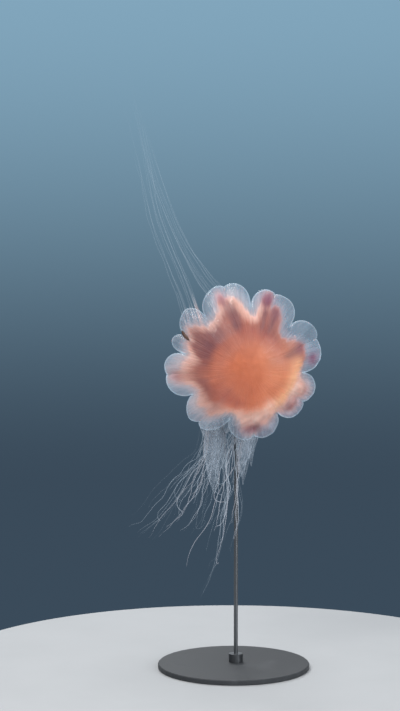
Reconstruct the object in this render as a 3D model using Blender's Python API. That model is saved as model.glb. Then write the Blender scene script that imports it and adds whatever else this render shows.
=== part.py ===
"""Lion's mane jellyfish, life size, swimming towards the viewer on a rod stand.

Metres, +Z up. The origin is the centre of the stand base's underside. The bell faces -Y, a little
to +X and nose down, and its tentacles trail behind it, most of them down and to -X.

The bell's own frame has its origin in the plane of the clefts' ends, +z out through the crown, and
angles counted anticlockwise as seen from in front.
"""

import math
from collections import namedtuple

import bmesh
import bpy
from mathutils import Matrix, Vector

# Pose of the bell.
BELL_CENTRE = Vector((0.018, -0.120, 0.616))
BELL_YAW = math.radians(6)
BELL_NOSE_DOWN = math.radians(5)

# The bell, a thick crown inside a thin brim of eight lobes, each of two lappets.
BELL_RADIUS = 0.153
LOBES = 8
CROWN_RADIUS = 0.60  # share of the bell's radius where the crown is parted from the lobes
# Round the edge, the clefts between lobes and the notches between a lobe's two lappets in turn: the
# angle of each in degrees, and the share of the radius where it ends. The last is the first again.
EDGE = (
    (-9, 0.735), (17, 0.955), (40.5, 0.73), (65.5, 0.93), (85, 0.725), (105, 0.975), (129.5, 0.785),
    (154.5, 0.81), (170, 0.765), (189, 0.965), (210.5, 0.755), (234, 0.93), (254.5, 0.71),
    (279, 0.95), (303.5, 0.72), (326, 0.915), (351, 0.735),
)
# The lappets between them: where the tip lies on the way from cleft to notch, how far it reaches, and
# how full it is, from 1 for pointed to 2 for round.
LAPPETS = (
    (0.63, 0.990, 1.9), (0.78, 0.995, 1.9), (0.60, 0.965, 1.9), (0.68, 0.960, 1.8),
    (0.70, 1.005, 1.9), (0.76, 1.020, 1.7), (0.36, 0.998, 1.8), (0.55, 0.950, 1.9),
    (0.62, 0.992, 1.9), (0.72, 0.995, 1.9), (0.72, 0.985, 1.4), (0.78, 0.990, 1.7),
    (0.78, 1.010, 1.7), (0.68, 1.020, 1.9), (0.55, 0.975, 1.8), (0.62, 0.990, 1.9),
)
# Heights of the outer side, and thicknesses under it, at shares of the bell's radius.
OUTER_HEIGHTS = ((0.0, 0.050), (0.3, 0.047), (0.5, 0.035), (0.65, 0.017), (0.8, 0.004), (1.0, -0.010))
THICKNESSES = ((0.0, 0.028), (0.3, 0.027), (0.5, 0.020), (0.62, 0.010), (0.76, 0.0055), (1.0, 0.0024))
DROOP = 0.005  # how far the lappet tips hang below a flat brim, on average
DROOP_SWING = 0.004  # and how much more on the side that curls under
CURLED_SIDE = math.radians(-50)  # the side that the crown leans to as well
LEAN = 0.42  # how far the crown leans, for each unit of its height
LAPPET_CUP = 0.006  # how far a lappet's two edges hang below its middle

# What hangs from the middle of the bell.
MOUTH_RADIUS = 0.040
MOUTH_FLUTE = 0.12  # how far the mouth's four corners stand out, as a share of its radius
MOUTH_END = -0.012
FIRST_ARM = math.radians(35)
FIRST_GONAD = math.radians(80)
GONAD_INNER, GONAD_OUTER = 0.048, 0.080
GONAD_HALF_ANGLE = math.radians(24)
GONAD_DEPTH = 0.013
ARM_ROOT_RADIUS = 0.026
ARM_GAP = 0.0030  # behind the mouth, for their slanting roots
ARM_SPREAD = 0.020  # how far they lean apart behind it
ARM_WIDTHS = (0.017, 0.010)  # half widths at root and tip
ARM_THICKNESSES = (0.0060, 0.0030)
ARM_FRILL = 0.18
ARM_FRILLS = 5

# The tentacles, in eight groups, each on a crescent pad under a lobe.
PAD_INNER = 0.094
PAD_WIDTH = 0.010
PAD_HALF_ANGLE = math.radians(14)
PAD_BOW = 0.010  # how much further out the crescent's horns are than its middle
PAD_DEPTH = 0.0040
ROOT_RADIUS, TIP_RADIUS = 0.0026, 0.0009
STRAND_SIDES = 5
STRAND_STEPS = 6  # along each length of a tentacle
PARTED_AT = 0.46  # share of a long tentacle's curve that stays with its group

# The stand.
ROD_RADIUS = 0.004
ROD_REACH = 0.130  # from the bell's centre back to the corner of the rod's bend
ROD_BEND = 0.040
ROD_SIDES = 12
BASE_RADIUS = 0.150
BASE_THICKNESS = 0.010
COLLAR_RADIUS, COLLAR_HEIGHT = 0.014, 0.016
CUP_RADIUS, CUP_DEPTH = 0.012, 0.004  # the rod's plate behind the mouth

GAP = 0.0004  # between neighbouring pieces
HUNG_GAP = 0.0008  # above what hangs from the bell, whose underside is faceted

# The tentacles, group by group round the bell from the first lobe: how many there are and how many of
# them are long, how far they run straight back, the place where they are gathered and the place where
# the long ones end, both from the bell's centre, and the way they point there.
Group = namedtuple("Group", "strands long back waist end way")
GROUPS = (
    Group(4, 2, 0.16, (-0.022, 0.275, -0.180), (-0.135, 0.330, -0.400), (-0.5, 0.2, -0.8)),
    Group(4, 2, 0.18, (-0.015, 0.350, -0.150), (-0.120, 0.400, -0.330), (-0.4, 0.3, -0.8)),
    Group(4, 2, 0.12, (-0.055, 0.200, 0.115), (-0.232, 0.380, 0.552), (-0.13, 0.2, 1.0)),
    Group(5, 3, 0.09, (-0.170, 0.180, 0.295), (-0.238, 0.330, 0.527), (-0.16, 0.2, 1.0)),
    Group(5, 4, 0.13, (-0.036, 0.212, -0.205), (-0.222, 0.250, -0.372), (-0.8, 0.3, -0.6)),
    Group(6, 4, 0.09, (-0.034, 0.110, -0.215), (-0.120, 0.170, -0.375), (-0.6, 0.2, -0.8)),
    Group(6, 4, 0.09, (-0.018, 0.085, -0.200), (-0.062, 0.090, -0.455), (-0.2, 0.1, -1.0)),
    Group(4, 2, 0.12, (0.002, 0.168, -0.180), (-0.085, 0.200, -0.455), (-0.2, 0.1, -1.0)),
)
# How far apart the first and last tentacle of each group are where they are gathered, and at the end.
WAIST_FANS = (
    (0.015, 0.045, 0.000), (-0.020, 0.050, 0.000), (-0.025, 0.030, -0.020), (-0.020, 0.040, -0.020),
    (0.020, -0.045, 0.000), (0.050, -0.015, 0.000), (0.042, 0.010, 0.020), (0.025, 0.035, 0.010),
)
END_FANS = (
    (0.060, 0.060, -0.060), (-0.030, 0.060, 0.060), (-0.030, 0.060, 0.050), (-0.020, 0.080, -0.100),
    (0.060, -0.070, -0.040), (0.110, -0.060, -0.030), (0.070, 0.020, 0.080), (0.050, 0.060, 0.040),
)
# Where each oral arm ends, from the bell's centre.
ARM_ENDS = (
    (0.018, 0.200, -0.225), (-0.060, 0.220, -0.205), (-0.058, 0.140, -0.270), (0.000, 0.118, -0.250),
)
DOWN = Vector((0, 0, -1))


def bell_frame():
    """The bell's frame in the world: columns right, up and out through the crown."""
    out = Vector(
        (
            math.sin(BELL_YAW) * math.cos(BELL_NOSE_DOWN),
            -math.cos(BELL_YAW) * math.cos(BELL_NOSE_DOWN),
            -math.sin(BELL_NOSE_DOWN),
        )
    )
    right = Vector((math.cos(BELL_YAW), math.sin(BELL_YAW), 0))
    turn = Matrix((right, out.cross(right), out)).transposed().to_4x4()
    return Matrix.Translation(BELL_CENTRE) @ turn


BELL = bell_frame()
BACKWARDS = -BELL.col[2].to_3d()


def smooth_through(stations, x):
    """The height at x of a smooth curve through a few (x, height) stations."""
    last = len(stations) - 2
    i = max(j for j in range(last + 1) if j == 0 or x >= stations[j][0])
    slopes = []
    for j in (i, i + 1):
        (x0, y0), (x1, y1) = stations[max(j - 1, 0)], stations[min(j + 1, last + 1)]
        slopes.append(0.0 if j == 0 else (y1 - y0) / (x1 - x0))
    (x0, y0), (x1, y1) = stations[i], stations[i + 1]
    span = x1 - x0
    t = (x - x0) / span
    ends = y0 * (2 * t**3 - 3 * t**2 + 1) + y1 * (3 * t**2 - 2 * t**3)
    return ends + span * (slopes[0] * (t**3 - 2 * t**2 + t) + slopes[1] * (t**3 - t**2))


def smoothstep(t):
    t = min(max(t, 0.0), 1.0)
    return t * t * (3 - 2 * t)


def lobe_edges(number):
    """The angles of the clefts on both sides of a lobe."""
    return [math.radians(EDGE[2 * number + side][0]) for side in (0, 2)]


def lobe_middle(number):
    return sum(lobe_edges(number)) / 2


def lappet_place(angle):
    """The number of an angle's lappet, and where the angle lies in it: 0 at the cleft, 1 at the notch."""
    degrees = (math.degrees(angle) - EDGE[0][0]) % 360 + EDGE[0][0]
    number = next(i for i in range(2 * LOBES) if degrees <= EDGE[i + 1][0] + 1e-4)
    first, last = EDGE[number][0], EDGE[number + 1][0]
    place = (degrees - first) / (last - first)
    return number, min(max(place if number % 2 == 0 else 1 - place, 0.0), 1.0)


def outline(angle):
    """Radius of the bell's scalloped edge."""
    number, place = lappet_place(angle)
    tip, reach, fullness = LAPPETS[number]
    cleft, notch = EDGE[number + number % 2][1], EDGE[number + 1 - number % 2][1]
    end, away = (cleft, (tip - place) / tip) if place < tip else (notch, (place - tip) / (1 - tip))
    rise = (1 - away**fullness) ** (1 / fullness)
    return BELL_RADIUS * (end + (reach - end) * rise)


def outer_height(radius, angle):
    share = radius / BELL_RADIUS
    droop = DROOP + DROOP_SWING * math.cos(angle - CURLED_SIDE)
    brim = smoothstep((share - CROWN_RADIUS) / (1.2 - CROWN_RADIUS))
    cup = LAPPET_CUP * (2 * lappet_place(angle)[1] - 1) ** 2 * smoothstep((share - 0.68) / 0.3)
    return smooth_through(OUTER_HEIGHTS, share) - 2 * droop * brim**1.5 - cup


def inner_height(radius, angle):
    return outer_height(radius, angle) - smooth_through(THICKNESSES, radius / BELL_RADIUS)


def polar(radius, angle, height):
    lean = LEAN * max(height, 0.0)
    x = radius * math.cos(angle) + lean * math.cos(CURLED_SIDE)
    y = radius * math.sin(angle) + lean * math.sin(CURLED_SIDE)
    return BELL @ Vector((x, y, height))


def add_mesh(name, points, faces, material):
    """A new object from points and faces, with its faces turned outwards."""
    mesh = bpy.data.meshes.new(name)
    mesh.from_pydata([tuple(p) for p in points], [], faces)
    shape = bmesh.new()
    shape.from_mesh(mesh)
    bmesh.ops.recalc_face_normals(shape, faces=shape.faces)
    shape.to_mesh(mesh)
    shape.free()
    mesh.materials.append(material)
    mesh.shade_smooth()
    made = bpy.data.objects.new(name, mesh)
    bpy.context.scene.collection.objects.link(made)
    return made


def slab(name, rows, material):
    """A closed slab between two grids. Each entry of rows holds (upper, lower) points."""
    high, wide = len(rows), len(rows[0])
    points = [pair[side] for side in (0, 1) for row in rows for pair in row]

    def at(side, i, j):
        return side * high * wide + i * wide + j

    faces = []
    for side in (0, 1):
        for i in range(high - 1):
            for j in range(wide - 1):
                corners = ((i, j), (i, j + 1), (i + 1, j + 1), (i + 1, j))
                faces.append([at(side, *corner) for corner in corners])
    edge = [(0, j) for j in range(wide - 1)] + [(i, wide - 1) for i in range(high - 1)]
    edge += [(high - 1, j) for j in range(wide - 1, 0, -1)] + [(i, 0) for i in range(high - 1, 0, -1)]
    for (i0, j0), (i1, j1) in zip(edge, edge[1:] + edge[:1]):
        faces.append((at(0, i0, j0), at(0, i1, j1), at(1, i1, j1), at(1, i0, j0)))
    return add_mesh(name, points, faces, material)


def tube(name, path, shares, sections, material):
    """A closed tube along a path, a function of the share of its length. sections holds, for each of
    the shares, the points of its ring round (0, 0)."""
    right = BELL.col[0].to_3d()
    points, faces = [], []
    for share, section in zip(shares, sections):
        centre = path(share)
        ahead = (path(share + 0.002) - path(share - 0.002)).normalized()
        side = (right - ahead * right.dot(ahead)).normalized()
        other = ahead.cross(side)
        points += [centre + side * x + other * y for x, y in section]
    sides, last = len(sections[0]), len(sections) - 1
    for i in range(last):
        for j in range(sides):
            k = (j + 1) % sides
            faces.append((i * sides + j, i * sides + k, (i + 1) * sides + k, (i + 1) * sides + j))
    faces.append(tuple(range(sides)))
    faces.append(tuple(range(last * sides, (last + 1) * sides)))
    return add_mesh(name, points, faces, material)


def circle(radius, sides):
    turns = [math.tau * j / sides for j in range(sides)]
    return [(radius * math.cos(turn), radius * math.sin(turn)) for turn in turns]


def finish(name, colour, roughness, metallic=0.0, alpha=1.0):
    """A material with one Principled BSDF."""
    made = bpy.data.materials.new(name)
    made.use_nodes = True
    shader = made.node_tree.nodes["Principled BSDF"]
    shader.inputs["Base Color"].default_value = (*colour, 1.0)
    shader.inputs["Roughness"].default_value = roughness
    shader.inputs["Metallic"].default_value = metallic
    shader.inputs["Alpha"].default_value = alpha
    return made


def crown(material):
    """The thick middle of the bell, a disc parted from the lobes by a circular cut."""
    around, rings = 28, 4
    radius = BELL_RADIUS * CROWN_RADIUS
    points = [polar(0, 0, height(0, 0)) for height in (outer_height, inner_height)]
    for height in (outer_height, inner_height):
        for i in range(1, rings + 1):
            for j in range(around):
                r, angle = radius * i / rings, math.tau * j / around
                points.append(polar(r, angle, height(r, angle)))

    def at(side, i, j):
        return 2 + side * rings * around + (i - 1) * around + j % around

    faces = []
    for side in (0, 1):
        for j in range(around):
            faces.append((side, at(side, 1, j), at(side, 1, j + 1)))
            for i in range(1, rings):
                corners = ((i, j), (i + 1, j), (i + 1, j + 1), (i, j + 1))
                faces.append([at(side, *corner) for corner in corners])
    for j in range(around):
        faces.append((at(0, rings, j), at(1, rings, j), at(1, rings, j + 1), at(0, rings, j + 1)))
    return add_mesh("bell_crown", points, faces, material)


def lobe(number, material):
    """One lobe of the brim, a pair of lappets, from the crown's cut to the scalloped edge."""
    per_lappet, out = 6, 4
    start = BELL_RADIUS * CROWN_RADIUS + GAP
    first, last = lobe_edges(number)
    notch = math.radians(EDGE[2 * number + 1][0])
    inset = GAP / 2 / start
    # columns crowd at the clefts and the notch, where the edge curves most
    share = [0.5 - 0.5 * math.cos(math.pi * j / per_lappet) for j in range(per_lappet)]
    angles = [first + inset + (notch - first - inset) * x for x in share]
    angles += [notch + (last - inset - notch) * x for x in share] + [last - inset]
    rows = []
    for i in range(out + 1):
        row = []
        for angle in angles:
            radius = start + (outline(angle) - start) * i / out
            heights = (outer_height(radius, angle), inner_height(radius, angle))
            row.append([polar(radius, angle, height) for height in heights])
        rows.append(row)
    return slab(f"bell_lobe_{number + 1}", rows, material)


def mouth(material):
    """The fluted stalk of the mouth, under the crown."""
    around, rings = 24, 3
    points, faces = [], []
    for i in range(rings + 1):
        share = i / rings
        for j in range(around):
            angle = math.tau * j / around
            flute = 1 + MOUTH_FLUTE * math.cos(4 * (angle - FIRST_ARM))
            radius = MOUTH_RADIUS * flute * (1 - 0.12 * math.sin(math.pi * share))
            top = inner_height(radius, angle) - HUNG_GAP
            points.append(polar(radius, angle, top + (MOUTH_END - top) * share))
    for i in range(rings):
        for j in range(around):
            k = (j + 1) % around
            faces.append((i * around + j, i * around + k, (i + 1) * around + k, (i + 1) * around + j))
    points += [polar(0, 0, inner_height(0, 0) - HUNG_GAP), polar(0, 0, MOUTH_END)]
    for j in range(around):
        k = (j + 1) % around
        faces.append((j, k, len(points) - 2))
        faces.append((rings * around + j, rings * around + k, len(points) - 1))
    return add_mesh("mouth", points, faces, material)


def gonad(number, material):
    """One of the four folded sacs that hang under the crown between the oral arms."""
    across, out = 6, 3
    middle = FIRST_GONAD + number * math.tau / 4
    rows = []
    for i in range(out + 1):
        row = []
        for j in range(across + 1):
            radius = GONAD_INNER + (GONAD_OUTER - GONAD_INNER) * i / out
            angle = middle + GONAD_HALF_ANGLE * (2 * j / across - 1)
            bulge = math.sin(math.pi * i / out) * math.sin(math.pi * j / across)
            top = inner_height(radius, angle) - HUNG_GAP
            depth = 0.0015 + GONAD_DEPTH * bulge**0.6
            row.append([polar(radius, angle, top), polar(radius, angle, top - depth)])
        rows.append(row)
    return slab(f"gonad_{number + 1}", rows, material)


def bezier(points, t):
    """The point at t of the Bezier curve with any number of control points."""
    while len(points) > 1:
        points = [a.lerp(b, t) for a, b in zip(points, points[1:])]
    return points[0]


def arm_path(number):
    """The middle line of an oral arm as a function of its share of length."""
    angle = FIRST_ARM + number * math.tau / 4
    root = polar(ARM_ROOT_RADIUS, angle, MOUTH_END - ARM_GAP)
    end = BELL_CENTRE + Vector(ARM_ENDS[number])
    spread = polar(ARM_SPREAD, angle, 0) - polar(0, angle, 0)
    first = root + BACKWARDS * 0.090 + spread
    second = end - DOWN * 0.11 + BACKWARDS * 0.02
    return lambda t: bezier([root, first, second, end], t)


def oral_arm(number, material):
    """An oral arm, a thick frilled ribbon, in an upper and a lower length."""
    path, steps, sides = arm_path(number), 6, 8
    for name, begin, end in (("upper", 0.0, 0.5), ("lower", 0.503, 1.0)):
        shares = [begin + (end - begin) * i / steps for i in range(steps + 1)]
        sections = []
        for t in shares:
            frill = 1 + ARM_FRILL * math.sin(math.tau * ARM_FRILLS * t)
            wide = (ARM_WIDTHS[0] + (ARM_WIDTHS[1] - ARM_WIDTHS[0]) * t) * frill
            thick = ARM_THICKNESSES[0] + (ARM_THICKNESSES[1] - ARM_THICKNESSES[0]) * t
            sections.append([(x * wide, y * thick) for x, y in circle(1.0, sides)])
        tube(f"oral_arm_{number + 1}_{name}", path, shares, sections, material)


def pad_radius(offset):
    """Inner radius of a tentacle pad at an angle from its middle."""
    return PAD_INNER + PAD_BOW * (offset / PAD_HALF_ANGLE) ** 2


def tentacle_pad(number, material):
    """The crescent under a lobe that one group of tentacles grows from."""
    across, out = 6, 1
    middle = lobe_middle(number)
    rows = []
    for i in range(out + 1):
        row = []
        for j in range(across + 1):
            offset = PAD_HALF_ANGLE * (2 * j / across - 1)
            radius = pad_radius(offset) + PAD_WIDTH * i / out
            top = inner_height(radius, middle + offset) - HUNG_GAP
            row.append([polar(radius, middle + offset, top), polar(radius, middle + offset, top - PAD_DEPTH)])
        rows.append(row)
    return slab(f"tentacle_group_{number + 1}", rows, material)


def strand_path(number, strand):
    """The middle line of one tentacle as a function of its share of length."""
    group = GROUPS[number]
    lane = strand / (group.strands - 1) - 0.5
    offset = 1.7 * lane * PAD_HALF_ANGLE
    angle = lobe_middle(number) + offset
    radius = pad_radius(offset) + PAD_WIDTH / 2
    root = polar(radius, angle, inner_height(radius, angle) - HUNG_GAP - PAD_DEPTH * 0.75)
    first = root + BACKWARDS * group.back
    waist = BELL_CENTRE + Vector(group.waist) + Vector(WAIST_FANS[number]) * lane
    end = BELL_CENTRE + Vector(group.end) + Vector(END_FANS[number]) * lane
    way = Vector(group.way).normalized()
    last = end - way * (end - waist).length * 0.4
    controls = [root, first, waist, waist, last, end]
    across = way.cross(BACKWARDS).normalized()

    def at(t):
        sway = 0.008 * math.sin(math.tau * (1.35 * t + 0.21 * number)) * smoothstep(t * 2)
        lift = 0.005 * math.sin(math.tau * (2.1 * t + 0.13 * number + 0.3)) * smoothstep(t * 2)
        return bezier(controls, t) + across * sway + across.cross(way) * lift

    return at


def strand_length(path, begin, end, name, material):
    shares = [begin + (end - begin) * i / STRAND_STEPS for i in range(STRAND_STEPS + 1)]
    sections = [circle(ROOT_RADIUS + (TIP_RADIUS - ROOT_RADIUS) * t, STRAND_SIDES) for t in shares]
    return tube(name, path, shares, sections, material)


def tentacle_group(number, material):
    """One group: its pad with the upper lengths joined to it, and the lower lengths of the long ones."""
    pad = tentacle_pad(number, material)
    group = GROUPS[number]
    # the short tentacles are the outer ones, first and last in turn
    order = sorted(range(group.strands), key=lambda strand: -abs(strand / (group.strands - 1) - 0.52))
    short = set(order[: group.strands - group.long])
    for strand in range(group.strands):
        path = strand_path(number, strand)
        upper = strand_length(path, 0.0, PARTED_AT, f"guide_{number + 1}_{strand + 1}", material)
        upper.hide_render = True
        upper.display_type = "WIRE"
        join = pad.modifiers.new(f"join_{strand + 1}", "BOOLEAN")
        join.operation = "UNION"
        join.object = upper
        if strand not in short:
            begin = PARTED_AT + 0.0015
            strand_length(path, begin, 1.0, f"tentacle_{number + 1}_{strand + 1}_end", material)


def rod_path():
    """The rod's middle line, and its shares of length: back from the mouth, round one bend, down."""
    start = BELL @ Vector((0, 0, MOUTH_END - CUP_DEPTH - 2 * GAP))
    turn = BACKWARDS.angle(DOWN)
    inward = (DOWN - BACKWARDS * DOWN.dot(BACKWARDS)).normalized()
    run = ROD_BEND * math.tan(turn / 2)
    bend_start = BELL_CENTRE + BACKWARDS * (ROD_REACH - run)
    centre = bend_start + inward * ROD_BEND
    bend_end = centre - inward * ROD_BEND * math.cos(turn) + BACKWARDS * ROD_BEND * math.sin(turn)
    lengths = (
        (bend_start - start).length,
        ROD_BEND * turn,
        bend_end.z - BASE_THICKNESS - GAP,
    )
    total = sum(lengths)

    def at(t):
        along = t * total
        if along < lengths[0]:
            return start + BACKWARDS * along
        along -= lengths[0]
        if along < lengths[1]:
            swept = along / ROD_BEND
            return centre - inward * ROD_BEND * math.cos(swept) + BACKWARDS * ROD_BEND * math.sin(swept)
        return bend_end + DOWN * (along - lengths[1])

    shares = [0.0]
    steps = 8
    shares += [(lengths[0] + lengths[1] * i / steps) / total for i in range(steps + 1)]
    return at, shares + [1.0]


def ring(name, centre, inner, outer, bottom, top, material, sides=24):
    """An upright ring, such as the collar round the rod's foot."""
    points = []
    for radius, height in ((inner, bottom), (outer, bottom), (outer, top), (inner, top)):
        points += [Vector((centre.x + x, centre.y + y, height)) for x, y in circle(radius, sides)]
    faces = []
    for i in range(4):
        for j in range(sides):
            k, n = (j + 1) % sides, (i + 1) % 4
            faces.append((i * sides + j, i * sides + k, n * sides + k, n * sides + j))
    return add_mesh(name, points, faces, material)


def stand(painted, steel):
    path, shares = rod_path()
    tube("stand_rod", path, shares, [circle(ROD_RADIUS, ROD_SIDES)] * len(shares), steel)
    plate = [BELL @ Vector((0, 0, MOUTH_END - GAP - CUP_DEPTH * i)) for i in (0, 1)]
    tube("stand_plate", lambda t: plate[0].lerp(plate[1], t), (0.0, 1.0), [circle(CUP_RADIUS, 24)] * 2, steel)
    foot = path(1.0)
    ring(
        "stand_collar", foot, ROD_RADIUS + GAP, COLLAR_RADIUS,
        BASE_THICKNESS + GAP, BASE_THICKNESS + GAP + COLLAR_HEIGHT, steel,
    )
    bpy.ops.mesh.primitive_cylinder_add(
        vertices=40, radius=BASE_RADIUS, depth=BASE_THICKNESS, location=(0, 0, BASE_THICKNESS / 2)
    )
    base = bpy.context.object
    base.name = "stand_base"
    base.data.materials.append(painted)
    edge = base.modifiers.new("edge", "BEVEL")
    edge.width = 0.0015
    edge.segments = 1
    edge.limit_method = "ANGLE"


def main():
    for old in list(bpy.data.objects):
        bpy.data.objects.remove(old)
    jelly = finish("pale_jelly", (0.55, 0.62, 0.72), 0.25, alpha=0.6)
    amber = finish("amber_jelly", (0.62, 0.25, 0.12), 0.3)
    silver = finish("tentacle", (0.62, 0.60, 0.62), 0.35)
    painted = finish("stand_paint", (0.05, 0.055, 0.06), 0.5)
    steel = finish("stand_steel", (0.15, 0.16, 0.17), 0.38, metallic=1.0)
    crown(amber)
    for number in range(LOBES):
        lobe(number, jelly)
    mouth(amber)
    for number in range(4):
        gonad(number, amber)
        oral_arm(number, amber)
    for number in range(LOBES):
        tentacle_group(number, silver)
    stand(painted, steel)


main()
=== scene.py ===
"""The looks of a life-size lion's mane jellyfish on its rod stand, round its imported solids.

Metres, in the solids' frame: +Z up, the origin under the middle of the stand's base. The bell has a
frame of its own, with +z out through the crown and angles counted anticlockwise from in front. There
a share is a distance from the middle over the bell's radius. Every formula takes arrays.
"""

from collections import namedtuple
from math import comb, cos, pi, radians, sin, tau

import bpy
import numpy as np
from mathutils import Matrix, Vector


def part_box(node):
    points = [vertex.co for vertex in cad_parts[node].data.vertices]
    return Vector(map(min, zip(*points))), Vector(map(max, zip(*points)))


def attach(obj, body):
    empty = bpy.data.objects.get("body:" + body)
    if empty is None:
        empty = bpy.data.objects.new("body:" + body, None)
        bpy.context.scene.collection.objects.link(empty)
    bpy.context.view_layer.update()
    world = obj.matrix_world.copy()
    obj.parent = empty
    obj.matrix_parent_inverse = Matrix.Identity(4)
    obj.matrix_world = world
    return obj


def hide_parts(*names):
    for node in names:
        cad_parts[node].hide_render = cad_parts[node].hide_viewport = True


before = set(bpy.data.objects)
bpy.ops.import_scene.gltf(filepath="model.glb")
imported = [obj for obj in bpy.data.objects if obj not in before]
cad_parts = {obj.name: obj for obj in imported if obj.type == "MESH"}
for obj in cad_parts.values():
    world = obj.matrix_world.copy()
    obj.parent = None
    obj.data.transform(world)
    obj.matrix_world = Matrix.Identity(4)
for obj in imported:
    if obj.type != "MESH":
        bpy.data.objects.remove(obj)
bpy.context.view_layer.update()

# The bell, as in the solids.
BELL_YAW = radians(6)
BELL_NOSE_DOWN = radians(5)
BELL_RADIUS = 0.153
LOBES = 8
# Round its edge, the clefts between lobes and the notches between a lobe's two lappets in turn: the
# angle of each in degrees, and the share of the radius where it ends. The last is the first again.
EDGE = (
    (-9, 0.735), (17, 0.955), (40.5, 0.73), (65.5, 0.93), (85, 0.725), (105, 0.975), (129.5, 0.785),
    (154.5, 0.81), (170, 0.765), (189, 0.965), (210.5, 0.755), (234, 0.93), (254.5, 0.71),
    (279, 0.95), (303.5, 0.72), (326, 0.915), (351, 0.735),
)
# The lappets between them: where the tip lies on the way from cleft to notch, how far it reaches, and
# how full it is, from 1 for pointed to 2 for round.
LAPPETS = (
    (0.63, 0.99, 1.9), (0.78, 0.995, 1.9), (0.6, 0.965, 1.9), (0.68, 0.96, 1.8),
    (0.7, 1.005, 1.9), (0.76, 1.02, 1.7), (0.36, 0.998, 1.8), (0.55, 0.95, 1.9),
    (0.62, 0.992, 1.9), (0.72, 0.995, 1.9), (0.72, 0.985, 1.4), (0.78, 0.99, 1.7),
    (0.78, 1.01, 1.7), (0.68, 1.02, 1.9), (0.55, 0.975, 1.8), (0.62, 0.99, 1.9),
)
EDGE_ANGLES = np.radians([angle for angle, _ in EDGE])
EDGE_SHARES = np.array([share for _, share in EDGE])
TIP_PLACES, TIP_SHARES, FULLNESS = np.array(LAPPETS).T
CLEFTS = EDGE_ANGLES[::2]
OUTER_HEIGHTS = ((0, 0.05), (0.3, 0.047), (0.5, 0.035), (0.65, 0.017), (0.8, 0.004), (1, -0.01))
THICKNESSES = ((0, 0.028), (0.3, 0.027), (0.5, 0.02), (0.62, 0.01), (0.76, 0.0055), (1, 0.0024))
CROWN_RADIUS = 0.6
DROOP, DROOP_SWING = 0.005, 0.004
CURLED_SIDE = radians(-50)
LEAN = 0.42
LAPPET_CUP = 0.006

# What hangs from it, as in the solids.
MOUTH_RADIUS, MOUTH_FLUTE, MOUTH_END = 0.04, 0.12, -0.012
FIRST_ARM, FIRST_GONAD = radians(35), radians(80)
GONAD_INNER, GONAD_OUTER, GONAD_DEPTH = 0.048, 0.08, 0.013
GONAD_HALF_ANGLE = radians(24)
ARM_ROOT_RADIUS, ARM_GAP, ARM_SPREAD = 0.026, 0.003, 0.02
ARM_ENDS = (18, 200, -225), (-60, 220, -205), (-58, 140, -270), (0, 118, -250)  # as the groups' places
PAD_INNER, PAD_WIDTH, PAD_BOW, PAD_DEPTH = 0.094, 0.01, 0.01, 0.004
PAD_HALF_ANGLE = radians(14)
HUNG_GAP, GAP = 0.0008, 0.0004
PAD_HANG = 0.0019  # how far a pad hangs under the bell, clear of its folds
PLATE_DEPTH = 0.004

# The tentacles' groups. As in the solids, in millimetres from the middle of the bell: how far they run
# back, where they are gathered, where the longest end and which way they point there, and how far
# apart a group's two sides are at both places. Then how many tentacles reach the end and how many stay
# short, and in percent how far those go at most and how many of them all end in a hook.
Group = namedtuple("Group", "back waist end way waist_fan end_fan long short short_reach hooked")
GROUPS = [Group(*row) for row in (
    (160, (-22, 275, -180), (-135, 330, -400), (-5, 2, -8), (15, 45, 0), (60, 60, -60), 8, 22, 46, 13),
    (180, (-15, 350, -150), (-120, 400, -330), (-4, 3, -8), (-20, 50, 0), (-30, 60, 60), 6, 22, 46, 13),
    (120, (-55, 200, 115), (-232, 380, 552), (-13, 20, 100), (-25, 30, -20), (-30, 60, 50), 10, 14, 32, 0),
    (90, (-170, 180, 295), (-238, 330, 527), (-16, 20, 100), (-20, 40, -20), (-20, 80, -100), 9, 14, 32, 0),
    (130, (-36, 212, -205), (-222, 250, -372), (-8, 3, -6), (20, -45, 0), (60, -70, -40), 18, 22, 62, 13),
    (90, (-34, 110, -215), (-120, 170, -375), (-6, 2, -8), (50, -15, 0), (110, -60, -30), 19, 24, 62, 13),
    (90, (-18, 85, -200), (-62, 90, -455), (-2, 1, -10), (42, 10, 20), (70, 20, 80), 12, 24, 62, 25),
    (120, (2, 168, -180), (-85, 200, -455), (-2, 1, -10), (25, 35, 10), (50, 60, 40), 4, 9, 62, 35),
)]
UPWARD_GROUPS = (2, 3)  # these trail up and away, and their short tentacles stay behind the bell

# The coloured star in the bell. Its prongs run out into the lobes: the angle of each in degrees, the
# share of the radius that it reaches, its half width in degrees and its bluntness, from 1 for a thorn
# to 3 for a block, and how brown it is along its middle and how red at its tip. Between them the star
# ends at its waist, which is given cleft by cleft.
Prong = namedtuple("Prong", "angle reach width blunt brown red")
PRONGS = [Prong(*row) for row in (
    (12, 0.768, 16, 3.2, 0, 0), (16, 0.775, 9, 2.0, 0.7, 0.5), (60, 0.815, 9, 2.4, 1, 0.3),
    (70.5, 0.925, 7, 2.2, 1, 0.9), (105, 0.86, 14, 2.2, 1, 0), (110.5, 0.93, 6, 2.0, 0, 0.45),
    (148, 0.815, 10, 2.2, 0.7, 0), (158, 0.76, 11, 2.4, 0.7, 0), (186, 0.8, 14, 2.2, 0, 0),
    (191, 0.925, 8, 1.9, 0.1, 0.35), (222, 0.77, 10, 2.2, 0, 0), (234, 0.785, 9, 2.2, 0.3, 0.2),
    (277, 0.92, 11, 1.9, 0, 0.65), (289, 0.82, 10, 2.4, 0, 0.2), (318, 0.85, 11, 2.2, 0.1, 0.65),
    (334, 0.89, 10, 2.2, 0.1, 0.2),
)]
WAISTS = (0.68, 0.565, 0.612, 0.675, 0.665, 0.64, 0.605, 0.7)
RED_SPOT = (3, 0.865)  # a red spot in the brim beyond the prongs: angle and share of the radius
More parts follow.
